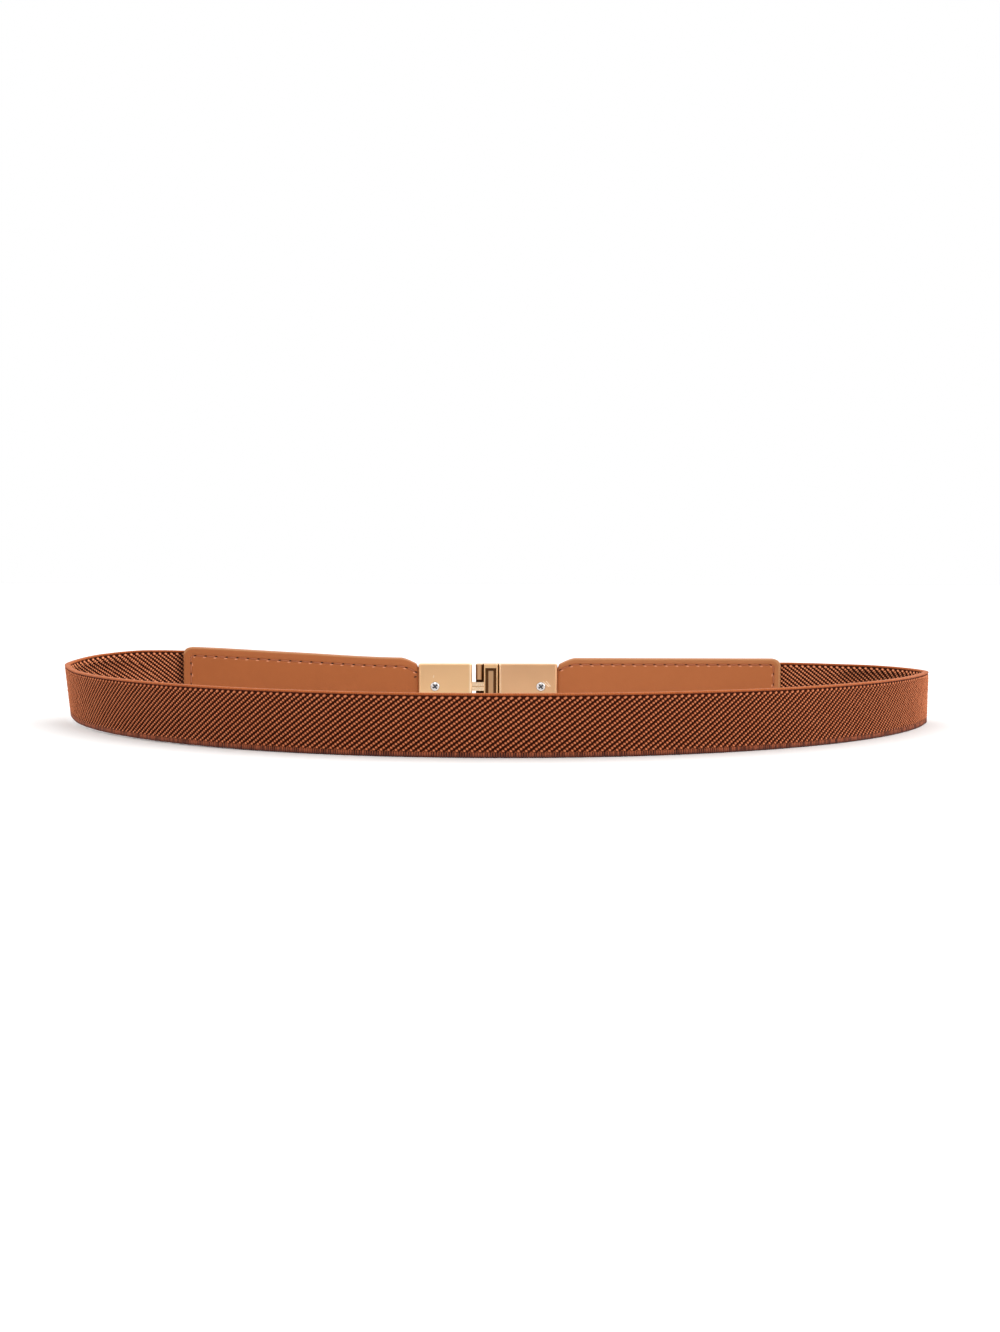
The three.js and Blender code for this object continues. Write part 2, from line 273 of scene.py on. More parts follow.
cornerX = loop["width"] / 2 - loop["cornerRadius"]
cornerY = loop["depth"] - loop["cornerRadius"]
frontRadius = (cornerX**2 + cornerY**2 - loop["cornerRadius"]**2) / (2 * (cornerY - loop["cornerRadius"]))
frontHalf = math.atan2(cornerX, frontRadius - cornerY)
cornerTurn = math.pi - frontHalf
stretches = [
    (cornerX, 0),
    (loop["cornerRadius"] * cornerTurn, cornerTurn),
    (2 * frontRadius * frontHalf, 2 * frontHalf),
    (loop["cornerRadius"] * cornerTurn, cornerTurn),
    (cornerX, 0),
]
loopLength = sum(length for length, turn in stretches)

# From the strap's own drawing to the belt's frame, by the left half of the clasp
claspLow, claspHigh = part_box("clasp_left_half")
shiftX = claspLow.x * metre - (loop["claspX"] - loop["claspHalf"])
shiftY = claspHigh.y * metre - (loop["depth"] + loop["claspFace"])


def planAt(run):
    # Place and heading after a run: straights add run times the heading, and arcs add differences of its sine
    # and cosine
    x, y, heading, left = 0 * run, loop["depth"] + 0 * run, 0 * run, 1.0 * run
    for length, turn in stretches:
        part = np.clip(left, 0, length)
        if turn:
            radius = length / turn
            ahead = heading + part / radius
            x = x + radius * (np.sin(ahead) - np.sin(heading))
            y = y + radius * (np.cos(ahead) - np.cos(heading))
            heading = ahead
        else:
            x = x + part * np.cos(heading)
            y = y - part * np.sin(heading)
        left = left - part
    return x, y, heading


def stanceAt(run, column):
    # A smooth cubic through the table's rows, flat at its peaks and level stretches
    share, value = stance["run"], stance[column]
    slope = np.diff(value) / np.diff(share)
    both = slope[:-1] * slope[1:]
    harmonic = np.where(both > 0, 2 * both / np.where(both > 0, slope[:-1] + slope[1:], 1), 0)
    tangent = np.concatenate([[0], harmonic, [0]])
    at = np.clip(np.searchsorted(share, run / loopLength, "right") - 1, 0, len(share) - 2)
    width = share[at + 1] - share[at]
    t = (run / loopLength - share[at]) / width
    rise = value[at + 1] - value[at]
    start, end = tangent[at] * width, tangent[at + 1] * width
    return value[at] + t * (start + t * (3 * rise - 2 * start - end + t * (start + end - 2 * rise)))


def strapPoints(run, out, up):
    # Points in metres: out from the strap's middle line, and up from its middle height
    run, out, up = np.broadcast_arrays(run, out, up)
    x, y, heading = planAt(run)
    offset = out + stanceAt(run, "lean") * loop["lean"] * up / loop["height"]
    raised = stanceAt(run, "rise") * loop["overhang"]
    middle = loop["height"] / 2 + raised + stanceAt(run, "lift") * loop["lift"]
    spots = (x + offset * np.sin(heading) + shiftX, y + offset * np.cos(heading) + shiftY, middle + up)
    return np.stack(spots, -1).reshape(-1, 3) / metre


# Woven elastic: an outer and an inner face of slanting ribs of beads, and a bound edge above and below

elastic = {
    "inset": 10,  # from the clasp's mouth to the elastic's end in the tab
    "half": 1.1,
    "ribPitch": 2.44,  # along the strap
    "rowPitch": 0.617,  # up the strap
    "slant": 1.318,  # a rib moves back along the strap by this for each millimetre up
    "crown": 0.5,  # where a bead's middle lies between one rib and the next
    "beadTurn": math.radians(35),  # a bead's long way, from the strap's line
    "beadLong": 0.6,
    "beadShort": 0.5,
    "coreHeight": 0.58,  # of the thread that joins a rib's beads, as a share of a bead's
    "coreHalf": 0.9,
    "endBeadWide": 0.74,  # the larger beads where a rib meets the upper bound edge
    "endBeadTall": 0.6,
    "columns": 6,  # to a rib
    "samples": 2,  # to a row, at each bead's crown and at the waist after it
    "relief": 0.72,
    "innerRelief": 0.5,
    "topEdge": 0.85,  # height of the bound edges
    "bottomEdge": 2.0,
    "merge": 0.7,  # over which the ribs level out above the lower bound edge
    "edgeOverlap": 0.12,
    "coarse": 8,  # column step where the tabs hide the elastic
    "unevenness": 0.12,
    "proud": 0.06,  # of the faces past the half thickness
    "tucked": 0.15,  # how far they step back inside a tab
    "open": 4,  # over which the ribs rise out of a tab
    "shearReach": 40,  # over which the columns lean to the ribs' slant
    "back": 0.03,  # of a face's hidden side, from the strap's middle
    "edgeDrop": 0.1,
    "seed": 7,
}
tabs = {
    "right": {"length": 94, "inset": 2.5, "endInset": 3.0, "holeStart": 1.2},
    "left": {"length": 98.9, "inset": 3.5, "endInset": 3.2, "holeStart": 1.0},
}


def rightRun(reach):
    # The run at a distance out of the clasp's mouth, along the right tab
    return loop["claspX"] + loop["claspHalf"] + reach


def leftRun(reach):
    return loopLength + loop["claspX"] - loop["claspHalf"] - reach


bandStart, bandEnd = rightRun(elastic["inset"]), leftRun(elastic["inset"])
bareStart, bareEnd = rightRun(tabs["right"]["length"]), leftRun(tabs["left"]["length"])
bareHigh = loop["height"] / 2 - elastic["topEdge"]  # the faces lie between the bound edges
bareLow = elastic["bottomEdge"] - loop["height"] / 2
endBeadUp = bareHigh - elastic["endBeadTall"]
chance = np.random.default_rng(elastic["seed"])
beadSize = chance.uniform(-1, 1, (512, 64))  # one number for each bead of the weave, by rib and row


def beads(run, up):
    # Half ellipsoids, 1 on top and 0 round them: those of this row and of the two beside it, of which the
    # highest counts, a lower thread along the rib's middle, and an upright ellipsoid where the rib ends
    turnCos, turnSin = math.cos(elastic["beadTurn"]), math.sin(elastic["beadTurn"])
    rib = (run + elastic["slant"] * up) / elastic["ribPitch"]
    beside = (rib % 1 - elastic["crown"]) * elastic["ribPitch"]
    row = up / elastic["rowPitch"]
    best = elastic["coreHeight"] ** 2 - (beside / elastic["coreHalf"]) ** 2
    for near in (-1, 0, 1):
        above = (row - np.round(row) - near) * elastic["rowPitch"]
        along = beside - elastic["slant"] * above
        long = along * turnCos + above * turnSin
        short = above * turnCos - along * turnSin
        best = np.maximum(best, 1 - (long / elastic["beadLong"]) ** 2 - (short / elastic["beadShort"]) ** 2)
    best = best * (up < endBeadUp)
    above = up - endBeadUp
    along = beside - elastic["slant"] * above
    end = 1 - (along / elastic["endBeadWide"]) ** 2 - (above / elastic["endBeadTall"]) ** 2
    size = beadSize[np.floor(rib).astype(int) % 512, np.round(row).astype(int) % 64]
    return np.sqrt(np.clip(np.maximum(best, end), 0, 1)), size


def weaveColumns():
    # Columns along the strap: several to a rib in the open, and a few where the tabs hide it
    reach = elastic["slant"] * loop["height"] / 2
    first, last = bareStart - reach - 2, bareEnd + reach + 2
    ribs = np.arange(math.floor(first / elastic["ribPitch"]), math.ceil(last / elastic["ribPitch"]))
    fine = (ribs[:, None] + np.arange(elastic["columns"]) / elastic["columns"]).ravel() * elastic["ribPitch"]
    before = np.linspace(bandStart, fine[0], round((fine[0] - bandStart) / elastic["coarse"]), endpoint=False)
    after = np.linspace(bandEnd, fine[-1], round((bandEnd - fine[-1]) / elastic["coarse"]), endpoint=False)
    return np.concatenate([before, fine, after[::-1]])


def elasticFace(name, side, relief, material):
    # A sheared grid whose columns follow the ribs, with a plain back at the strap's middle
    lowest, highest = bareLow - elastic["edgeOverlap"], bareHigh + elastic["edgeOverlap"]
    step = elastic["rowPitch"] / elastic["samples"]
    rows = np.arange(math.ceil(lowest / step), math.floor(highest / step) + 1)
    up = np.concatenate([[lowest], rows * step, [highest]])
    column = weaveColumns()[None, :]
    shear = elastic["slant"] * smoothStep(column, bandStart, bandStart + elastic["shearReach"])
    shear = shear * smoothStep(column, bandEnd, bandEnd - elastic["shearReach"])
    run = column - shear * up[:, None]
    bare = smoothStep(run, bareStart - elastic["open"], bareStart)
    bare = bare * smoothStep(run, bareEnd + elastic["open"], bareEnd)
    bead, size = beads(run, up[:, None])
    height = relief * (bead - 1) + elastic["unevenness"] * relief * size * bead
    above = up[:, None] - bareLow
    height = height * smoothStep(above, 0, elastic["merge"])
    height = height - elastic["edgeDrop"] * smoothStep(above, elastic["merge"], 0)
    out = side * (elastic["half"] + elastic["proud"] + bare * height - (1 - bare) * elastic["tucked"])
    backs = np.array([up[-1], up[0]])[:, None]
    backRun = column - shear * backs
    allRun = np.vstack([run, backRun])
    allOut = np.vstack([out, 0 * backRun + side * elastic["back"]])
    allUp = np.vstack([up[:, None] + 0 * run, backs + 0 * backRun])
    points = strapPoints(allRun, allOut, allUp)
    drawing = np.stack([allRun.ravel(), allUp.ravel()], -1)
    return makePiece(name, points, tubeFaces(*allRun.shape), material, {"strap": drawing})


edges = {
    "ribPitch": elastic["ribPitch"] / 3,
    "samples": 3,  # columns to a rib
    "topRib": 0.06,
    "bottomRib": 0.2,
    "around": 18,
    "squareness": 4.5,
    "ragged": 0.5,  # how much of a rib's thinness also shortens it below
    "open": 3,  # over which the ribs rise out of a tab
    "hidden": 8,  # columns inside a tab
    "proud": 0.02,
}


def elasticEdge(name, low, high, ribDepth, material):
    # A bound edge: a squared oval, |x|^n + |y|^n = 1, carried along the strap, with fine upright ribs
    step = edges["ribPitch"] / edges["samples"]
    fine = np.arange(bareStart - edges["open"], bareEnd + edges["open"], step)
    before = np.linspace(bandStart, fine[0], edges["hidden"], endpoint=False)
    after = np.linspace(bandEnd, fine[-1], edges["hidden"], endpoint=False)[::-1]
    run = np.concatenate([before, fine, after])[None, :]
    angle = np.arange(edges["around"])[:, None] * 2 * math.pi / edges["around"]
    bend = 2 / edges["squareness"]
    x = np.sign(np.cos(angle)) * np.abs(np.cos(angle)) ** bend
    y = np.sign(np.sin(angle)) * np.abs(np.sin(angle)) ** bend
    rib = np.cos(2 * math.pi * run / edges["ribPitch"])
    uneven = chance.uniform(-1, 0, run.shape) * ribDepth
    bare = smoothStep(run, bareStart - edges["open"], bareStart)
    bare = bare * smoothStep(run, bareEnd + edges["open"], bareEnd)
    thin = bare * (ribDepth * (1 - rib) / 2 - uneven / 2) / elastic["half"]
    out = x * (elastic["half"] + edges["proud"]) * (1 - thin)
    up = (low + high) / 2 + y * (high - low) / 2 * (1 - thin * edges["ragged"] * (y < 0))
    drawing = np.stack([(run + 0 * up).ravel(), up.ravel()], -1)
    return makePiece(name, strapPoints(run, out, up), tubeFaces(*up.shape), material, {"strap": drawing})


weave = {
    "chance": 0.8,  # how much of a bead's tint is its own
    "blotch": 0.6,  # and how much comes from the cloudy dye
    "blotchScale": 60,
    "fibreScale": 7000,
    # how far each bead's top pales towards the tip tone, a painted highlight
    "tip": 0.7,
    "highlightStart": 0.75,  # share of a bead's height from which its painted highlight begins
    "gapStart": 0.88,  # and below which the painted shade of the gap sets in
    "gapFull": 0.34,
    "crossingStart": 0.55,  # of a row's pitch, up or down from a bead's middle
    "crossingFull": 0.1,
    "endShade": 0.2,  # below the end beads, where the pits stop
    "tabShadowReach": 4.5,  # of the painted shadow where the elastic enters the left tab
    "tabShadowDepth": 0.6,
    "relief": 0.34,
    "fibreRelief": 0.04,
    "roughness": 0.7,
    "fibreRoughness": 0.1,
    "specular": 0.06,
}
edgeThread = {
    "fleck": 0.9,
    "fleckScale": 1400,
    "fibreScale": 9000,
    "shade": 0.9,
    "shadeHeight": 0.75,  # share of the edge's height over which painted shade darkens it downwards
    "ribRelief": 0.05,
    "fibreRelief": 0.04,
    "roughness": 0.65,
    "fibreRoughness": 0.15,
    "specular": 0.1,
    "sheen": 0.06,
    "sheenRoughness": 0.4,
}


def weaveFinish(name, tones):
    # The same beads as the mesh's, worked out again by the shader so that each is round up close
    finish = newFinish(name)
    place, (run, up, none) = finish.coordinates("strap")
    turnCos, turnSin = math.cos(elastic["beadTurn"]), math.sin(elastic["beadTurn"])
    rib = (run + up * elastic["slant"]) / elastic["ribPitch"]
    beside = (rib.math("FRACT", rib) - elastic["crown"]) * elastic["ribPitch"]
    row = up / elastic["rowPitch"]
    rowIndex = row.math("ROUND", row)
    offset = (row - rowIndex) * elastic["rowPitch"]
    heights = [elastic["coreHeight"] ** 2 - beside * beside / elastic["coreHalf"] ** 2]
    for near in (-1, 0, 1):
        above = offset - near * elastic["rowPitch"]
        along = beside - above * elastic["slant"]
        long = (along * turnCos + above * turnSin) / elastic["beadLong"]
        short = (above * turnCos - along * turnSin) / elastic["beadShort"]
        heights.append(1 - long * long - short * short)
    best = largest(heights) * up.math("LESS_THAN", up, endBeadUp)
    above = up - endBeadUp
    along = (beside - above * elastic["slant"]) / elastic["endBeadWide"]
    tall = above / elastic["endBeadTall"]
    bead = best.math("SQRT", largest([best, 1 - along * along - tall * tall, 0]))
    cell = finish.node("ShaderNodeCombineXYZ", inputs={0: rib.math("FLOOR", rib), 1: rowIndex})
    chanceTint = finish.node("ShaderNodeTexWhiteNoise", {"noise_dimensions": "2D"}, {"Vector": cell})
    object, axes = finish.coordinates()
    blotch = finish.noise(object, weave["blotchScale"])
    fibre = finish.noise(object, weave["fibreScale"])
    # Threads cross beside each bead between two ribs, with a dark pit half a row above and below: painted
    # shade
    aside = offset.math("ABSOLUTE", offset) / elastic["rowPitch"]
    crossingShade = finish.step(aside, weave["crossingStart"], weave["crossingFull"])
    gap = finish.mix(crossingShade, tones["gap"], tones["crossingShade"])
    gap = finish.mix(finish.step(up, endBeadUp - weave["endShade"], bareHigh), gap, tones["crossingShade"])
    tint = chanceTint * weave["chance"] + (blotch - 0.5) * weave["blotch"]
    body = finish.mix(tint, tones["thread"], tones["rust"])
    # Painted highlight: the tops of the beads pale towards the tip tone, where light from above falls on them
    colour = finish.mix(finish.step(bead, weave["highlightStart"], 1.0) * weave["tip"], body, tones["tip"])
    # Painted shade: the beads' lower slopes and the gaps between them take the dark gap tones
    colour = finish.mix(finish.step(bead, weave["gapStart"], weave["gapFull"]), colour, gap)
    # Painted shadow that the left tab's end casts on the elastic beside it
    seam = finish.step(run, bareEnd - weave["tabShadowReach"], bareEnd)
    colour = finish.mix(seam * weave["tabShadowDepth"], colour, tones["gap"])
    return finish.shade({
        "Base Color": colour,
        "Roughness": weave["roughness"] + fibre * weave["fibreRoughness"],
        "Specular IOR Level": weave["specular"],
    }, bead * weave["relief"] + fibre * weave["fibreRelief"])


def edgeFinish(name, tones, contrast, low, high):
    # Upright threads of the bound edge, with painted shade between them and towards the edge's lower side
    finish = newFinish(name)
    place, (run, up, none) = finish.coordinates("strap")
    line = run * (2 * math.pi / edges["ribPitch"])
    rib = line.math("COSINE", line) * 0.5 + 0.5
    object, axes = finish.coordinates()
    fleck = finish.noise(object, edgeThread["fleckScale"])
    fibre = finish.noise(object, edgeThread["fibreScale"])
    count = run / edges["ribPitch"]
    number = count.math("ROUND", count)
    chanceTint = finish.node("ShaderNodeTexWhiteNoise", {"noise_dimensions": "1D"}, {"W": number})
    dark = (1 - rib) * contrast + (fleck - 0.5) * edgeThread["fleck"] + (chanceTint - 0.5) * contrast
    colour = finish.mix(dark.math("MAXIMUM", dark, 0), tones["thread"], tones["between"])
    # Painted shade: the edge darkens towards its lower side, which faces away from the light
    shade = finish.step(up, low + edgeThread["shadeHeight"] * (high - low), low) * edgeThread["shade"]
    colour = finish.mix(shade, colour, tones["lowerShade"])
    return finish.shade({
        "Base Color": colour,
        "Roughness": edgeThread["roughness"] + fibre * edgeThread["fibreRoughness"],
        "Specular IOR Level": edgeThread["specular"],
        "Sheen Weight": edgeThread["sheen"],
        "Sheen Roughness": edgeThread["sheenRoughness"],
    }, fibre * edgeThread["fibreRelief"] + rib * edgeThread["ribRelief"])


# In both weaves the gap and crossing tones are painted shade between the beads, and the tip tone a painted
# highlight
outerWeave = weaveFinish("outer_weave", {
    "thread": (0.365, 0.086, 0.029, 1), "rust": (0.44, 0.130, 0.053, 1), "tip": (0.68, 0.25, 0.12, 1),
    "gap": (0.006, 0.001, 0.0005, 1), "crossingShade": (0.060, 0.010, 0.003, 1)})
innerWeave = weaveFinish("inner_weave", {
    "thread": (0.55, 0.158, 0.062, 1), "rust": (0.66, 0.210, 0.092, 1), "tip": (0.86, 0.37, 0.19, 1),
    "gap": (0.010, 0.0015, 0.0008, 1), "crossingShade": (0.04, 0.007, 0.003, 1)})
topLow, topHigh = bareHigh, loop["height"] / 2
bottomLow, bottomHigh = -loop["height"] / 2, bareLow
# The top edge's tones are a lit copy of the thread, and the bottom edge's a shaded copy with deeper dark
# between its ribs
litTopThread = edgeFinish("top_edge_thread_lit", {
    "thread": (0.40, 0.106, 0.026, 1), "between": (0.26, 0.061, 0.014, 1), "lowerShade": (0.16, 0.030, 0.012, 1)},
    0.4, topLow, topHigh)
shadedBottomThread = edgeFinish("bottom_edge_thread_shaded", {
    "thread": (0.32, 0.085, 0.036, 1), "between": (0.035, 0.007, 0.003, 1),
    "lowerShade": (0.075, 0.024, 0.019, 1)}, 0.95, bottomLow, bottomHigh)

place(elasticFace("elastic_outer_face", 1, elastic["relief"], outerWeave), "elastic", "elastic_band")
place(elasticFace("elastic_inner_face", -1, elastic["innerRelief"], innerWeave), "elastic", "elastic_band")
place(elasticEdge("elastic_top_edge", topLow, topHigh, edges["topRib"], litTopThread), "elastic", "elastic_band")
place(elasticEdge("elastic_bottom_edge", bottomLow, bottomHigh, edges["bottomRib"], shadedBottomThread),
      "elastic", "elastic_band")
print("elastic: woven faces and bound edges")


# Leather tabs: two layers sewn round each end of the elastic

leather = {
    "height": 23.8,
    "face": 3.0,
    "seam": 0.15,
    "tongueHeight": 16,
    "tongueFace": 1.55,
    "tongueReach": 11,
    "shoulderHeight": 18.8,
    "shoulderEase": 1.45,  # 1 is a straight shoulder, and more of it rises early and levels out
    "shoulderFace": 1.85,
    "shoulderStart": 0.9,
    "shoulderEnd": 7.6,
    "cornerRadius": 3,
    "edgeRound": 0.65,
    "pocket": 1.4,
    "pocketHalf": 10.6,
    "grooveDepth": 0.2,
    "grooveHalf": 0.42,
    "marginSwell": 0.16,
    "holeLong": 0.6,
    "holeShort": 0.34,
    "holeSlant": 0.55,
    "column": 0.5,
    "edgeRows": (  # inwards from the outline, closest where the edge rolls and along the stitches
        0, 0.05, 0.15, 0.3, 0.5, 0.8, 1.2, 1.6, 2.0, 2.3, 2.6, 2.9, 3.2, 3.5, 3.8, 4.2, 5, 6.4, 8, 10),
    "backRows": (0, 0.25, 1.0, 1.3, 6),
}
stitch = {
    "pitch": 4.45,
    "gap": 0.5,  # from a hole to the thread's end
    "radius": 0.25,
    "cornerRadius": 1.4,
    "dive": 0.4,
    "along": 9,
    "around": 8,
}


def outlineHalf(reach, length):
    # Half the tab's height: tongue, a shoulder that eases out to full height, and a round end corner
    span = leather["shoulderEnd"] - leather["shoulderStart"]
    t = np.clip((reach - leather["shoulderStart"]) / span, 0, 1)
    full, shoulder = leather["height"] / 2, leather["shoulderHeight"] / 2
    half = shoulder + (full - shoulder) * (1 - (1 - t) ** leather["shoulderEase"])
    half = np.where(reach < leather["shoulderStart"] - 0.01, leather["tongueHeight"] / 2, half)
    radius = leather["cornerRadius"]
    past = np.clip(reach - (length - radius), 0, radius)
    return half - radius + np.sqrt(radius**2 - past**2)


def sewingLine(tab):
    # The line of stitches: along the upper edge, round the end and back along the lower edge, by arc length
    end, radius = tab["length"] - tab["endInset"], stitch["cornerRadius"]
    reach = np.arange(tab["holeStart"], end - radius, 0.4)
    up = outlineHalf(reach, tab["length"] + 99) - tab["inset"]
    turn = np.linspace(0, math.pi / 2, 12)
    top = up[-1]
    cornerReach, cornerUp = end - radius + radius * np.sin(turn), top - radius + radius * np.cos(turn)
    side = np.arange(top - radius, 0, -0.4)[1:]
    reach = np.concatenate([reach, cornerReach, end + 0 * side])
    up = np.concatenate([up, cornerUp, side])
    reach, up = np.concatenate([reach, reach[::-1]]), np.concatenate([up, -up[::-1]])
    steps = np.hypot(np.diff(reach), np.diff(up))
    return reach, up, np.concatenate([[0], np.cumsum(steps)])


def nearLine(line, reach, up):
    # Arc length and distance of the nearest spot of the sewing line, negative inside it
    lineReach, lineUp, arc = line
    flat = np.stack([reach.ravel(), up.ravel()], -1)
    nearest = np.argmin(np.hypot(lineReach - flat[:, :1], lineUp - flat[:, 1:]), axis=1)
    a = np.clip(nearest, 1, len(arc) - 2)
    tangent = np.stack([lineReach[a + 1] - lineReach[a - 1], lineUp[a + 1] - lineUp[a - 1]], -1)
    tangent = tangent / np.linalg.norm(tangent, axis=1)[:, None]
    away = flat - np.stack([lineReach[nearest], lineUp[nearest]], -1)
    along = np.einsum("ij,ij->i", away, tangent)
    across = away[:, 1] * tangent[:, 0] - away[:, 0] * tangent[:, 1]
    return arc[nearest] + along, across


def faceOut(tab, line, reach, up):
    # The face: full thickness, rolled off at the outline, swollen outside the stitches and sunk along them
    length, radius = tab["length"], leather["cornerRadius"]
    half = outlineHalf(reach, length + 99)
    past = np.maximum(reach - (length - radius), 0)
    beside = np.abs(up) - (half - radius)
    corner = np.hypot(past, np.maximum(beside, 0))
    corner = corner + np.minimum(np.maximum(reach - length + radius, beside), 0)
    inside = np.clip(radius - corner, 0, None)
    full = leather["shoulderFace"] + (leather["face"] - leather["shoulderFace"]) * smoothStep(
        reach, leather["shoulderStart"] - 3, elastic["inset"] + 1)
    full = np.where(reach < leather["shoulderStart"] - 0.01, leather["tongueFace"], full)
    edge = leather["edgeRound"]
    under = np.clip(edge - inside, 0, edge)
    roll = edge - np.sqrt(edge**2 - under**2)
    arc, across = nearLine(line, reach, up)
    across = across.reshape(reach.shape)
    sewn = np.where(reach < leather["shoulderStart"], 0, 1)
    groove = leather["grooveDepth"] * np.exp(-((across / leather["grooveHalf"]) ** 2)) * sewn
    swell = leather["marginSwell"] * np.sin(math.pi * np.clip(inside / tab["inset"], 0, 1)) * sewn
    return full - roll - groove + swell, arc, across.ravel()


def tabLayer(name, tab, toRun, side, material):
    # Sections across the tab: the face's rows, then the back's, with the elastic's pocket in the back
    length, radius = tab["length"], leather["cornerRadius"]
    tongue = np.array([-leather["tongueReach"], -0.5, 0.3])
    shoulder = np.arange(leather["shoulderStart"], leather["shoulderEnd"], 0.35)
    plain = np.arange(leather["shoulderEnd"], length - radius, leather["column"])
    corner = length - radius + radius * np.sin(np.linspace(0, math.pi / 2, 14))
    reach = np.concatenate([tongue, shoulder, plain, corner])[None, :]
    half = outlineHalf(reach, length)
    share = 1 - np.array(leather["edgeRows"]) / (leather["height"] / 2)
    share = np.concatenate([-share, [0], share[::-1]])[:, None]
    line = sewingLine(tab)
    faceUp = share * half
    faceReach = reach + 0 * faceUp
    face, arc, across = faceOut(tab, line, faceReach, faceUp)
    backInset = np.array(leather["backRows"])
    backShare = 1 - backInset / (leather["height"] / 2)
    backShare = np.concatenate([backShare, -backShare[::-1]])[:, None]
    backUp = backShare * half
    inPocket = smoothStep(np.abs(backUp), leather["pocketHalf"] + 0.3, leather["pocketHalf"])
    inPocket = inPocket * smoothStep(reach, elastic["inset"] - 1, elastic["inset"] - 0.3)
    seam = leather["seam"] + 0.2 * (np.abs(backShare) > 0.999)
    back = seam + (leather["pocket"] - seam) * inPocket
    allUp = np.vstack([faceUp, backUp])
    allOut = side * np.vstack([face, back])
    allReach = reach + 0 * allUp
    points = strapPoints(toRun(allReach), allOut, allUp)
    blank = np.full(backUp.size, 99.0)
    sewing = np.stack([np.concatenate([arc, blank]), np.concatenate([across, blank])], -1)
    drawing = np.stack([allReach.ravel(), allUp.ravel()], -1)
    maps = {"sewing": sewing, "tab": drawing}
    return makePiece(name, points, tubeFaces(*allUp.shape), material, maps)


def stitchRow(name, tab, toRun, material):
    # Short threads between the holes of both faces: each a round bar that arches out and dives in at its ends
    line = sewingLine(tab)
    lineReach, lineUp, arc = line
    holes = np.arange(0, arc[-1], stitch["pitch"])
    starts = holes[:-1] + stitch["gap"]
    t = np.linspace(0, 1, stitch["along"])
    spots = starts[:, None] + t * (stitch["pitch"] - 2 * stitch["gap"])
    reach, up = np.interp(spots, arc, lineReach), np.interp(spots, arc, lineUp)
    ahead = np.interp(spots + 0.05, arc, lineReach) - reach, np.interp(spots + 0.05, arc, lineUp) - up
    size = np.hypot(*ahead)
    acrossReach, acrossUp = -ahead[1] / size, ahead[0] / size
    surface = faceOut(tab, line, reach, up)[0]
    arch = surface - stitch["dive"] * np.abs(2 * t - 1) ** 4 + stitch["radius"] * 0.35
    taper = np.sqrt(1 - 0.75 * np.abs(2 * t - 1) ** 6)
    angle = np.arange(stitch["around"]) * 2 * math.pi / stitch["around"]
    beside = stitch["radius"] * taper[None, :, None] * np.cos(angle)
    rise = stitch["radius"] * taper[None, :, None] * np.sin(angle)
    ringReach = reach[..., None] + acrossReach[..., None] * beside
    ringUp = up[..., None] + acrossUp[..., None] * beside
    ringOut = arch[..., None] + rise
    points, faces, count = [], [], 0
    for side in (1, -1):
        spot = strapPoints(toRun(ringReach), side * ringOut, ringUp)
        ring = spot.reshape(len(starts), len(t), len(angle), 3).transpose(0, 2, 1, 3)
        points.append(ring.reshape(-1, 3))
        bar = tubeFaces(len(angle), len(t))
        for number in range(3):
            group = bar[number]
            moved = group[None] + (np.arange(len(starts)) * len(angle) * len(t))[:, None, None]
            flat = moved.reshape(-1, group.shape[1]) + count
            faces.append(flat[:, ::-1] if side < 0 else flat)
        count += len(points[-1])
    return makePiece(name, np.concatenate(points), faces, material)


hide = {
    "pitEdge": (1.15, 0.55),  # in pit sizes from its middle, from none to full
    "lipShift": (0.5, 0.56),  # of the painted highlight on the lifted lip, along and across the sewing line
    "grooveShadeEdge": (0.6, 0.15),
    "marginEdge": (0.3, 0.9),  # from the sewing line, outwards
    "patch": 0.35,  # how much of the dark tone comes and goes in patches
    "patchScale": 55,
    "fine": 0.2,
    "fineScale": 420,
    "grainScale": 1900,
    "shares": {"edge": 0.55, "groove": 0.3, "lip": 0.8, "pit": 0.95},  # of each tone, as they are laid on
}


